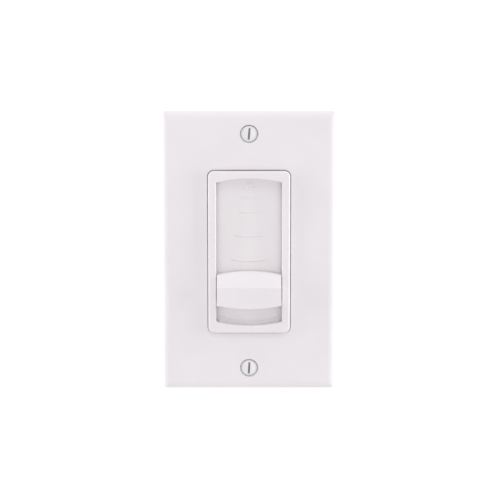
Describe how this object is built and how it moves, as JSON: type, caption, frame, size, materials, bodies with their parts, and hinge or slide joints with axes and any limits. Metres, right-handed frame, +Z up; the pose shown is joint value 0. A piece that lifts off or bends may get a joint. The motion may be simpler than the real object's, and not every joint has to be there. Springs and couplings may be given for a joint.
{
  "type": "dimmer slide switch",
  "caption": "Single-gang slide dimmer with wallplate: wide wedge-shaped knob sliding in a framed recess over a convex scale panel.",
  "frame": {"origin": "midway between the two box-mounting holes, on the wall's surface, which is also the yoke's back face and the wallplate's back rim", "axes": "+X to the right seen from the room, +Y into the wall, +Z up along the slide"},
  "size_m": [0.0698, 0.044, 0.1142],
  "materials": {
    "wallplate_white": "smooth satin-gloss moulded thermoset",
    "painted_screw": "steel painted to match the plate",
    "bezel_white": "satin moulded plastic",
    "panel_white": "fine satin moulded plastic with raised marks",
    "knob_white": "satin moulded plastic",
    "natural_nylon": "natural nylon",
    "zinc_plate": "zinc-plated stamped steel",
    "green_screw": "green-passivated screw",
    "fish_paper": "pressed insulating paper",
    "housing_black": "black moulded thermoplastic",
    "bright_screw": "zinc-plated screw",
    "board": "phenolic-paper board",
    "pot_steel": "tinned steel",
    "phenolic_track": "phenolic strip with carbon track",
    "plunger_red": "moulded plastic",
    "brass": "stamped brass",
    "epoxy_black": "moulded epoxy",
    "tinned_copper": "tinned copper",
    "thermal_pad": "grey thermal pad",
    "ferrite": "iron-powder core",
    "enamelled_copper": "enamelled copper wire",
    "capacitor_yellow": "film capacitor case",
    "capacitor_blue": "dipped capacitor",
    "resistor_tan": "coated resistor"
  },
  "bodies": {
    "fixed": {"wallplate": "wallplate_white", "wallplate_screws": "painted_screw", "bezel_frame": "bezel_white", "scale_panel": "panel_white", "yoke": "zinc_plate", "ground_screw": "green_screw", "insulator_sheet": "fish_paper", "back_housing": "housing_black", "housing_screws": "bright_screw", "circuit_board": "board", "pot_frame": "pot_steel", "pot_track": "phenolic_track", "off_switch_body": "housing_black", "off_switch_terminals": "brass", "triac_body": "epoxy_black", "triac_lead_frame": "tinned_copper", "triac_pad": "thermal_pad", "triac_screw": "bright_screw", "choke_core": "ferrite", "choke_winding": "enamelled_copper", "film_capacitor": "capacitor_yellow", "timing_capacitor": "capacitor_blue", "resistor_bodies": "resistor_tan", "resistor_leads": "tinned_copper", "diac": "capacitor_blue", "trim_pot_body": "capacitor_blue", "terminal_plates": "brass", "terminal_screws": "brass"},
    "slider": {"slider_knob": "knob_white", "slider_carriage": "natural_nylon", "pot_lever": "pot_steel", "pot_wiper": "natural_nylon"},
    "off_plunger": {"off_switch_plunger": "plunger_red"},
    "trimmer": {"trim_pot_rotor": "natural_nylon"}
  },
  "joints": [
    {"name": "dimmer_slide", "type": "slide", "parent": "fixed", "child": "slider", "axis": [0, 0, 1], "range_m": [-0.0073, 0.0377]},
    {"name": "off_switch_press", "type": "slide", "parent": "fixed", "child": "off_plunger", "axis": [0, 0, 1], "range_m": [-0.001, 0], "stiffness_N_per_m": 400, "springref_m": 0.0005},
    {"name": "trim_turn", "type": "hinge", "parent": "fixed", "child": "trimmer", "pos_m": [0.0052, 0.0184, -0.0018], "axis": [0, 1, 0], "range_deg": [-135, 135]}
  ]
}
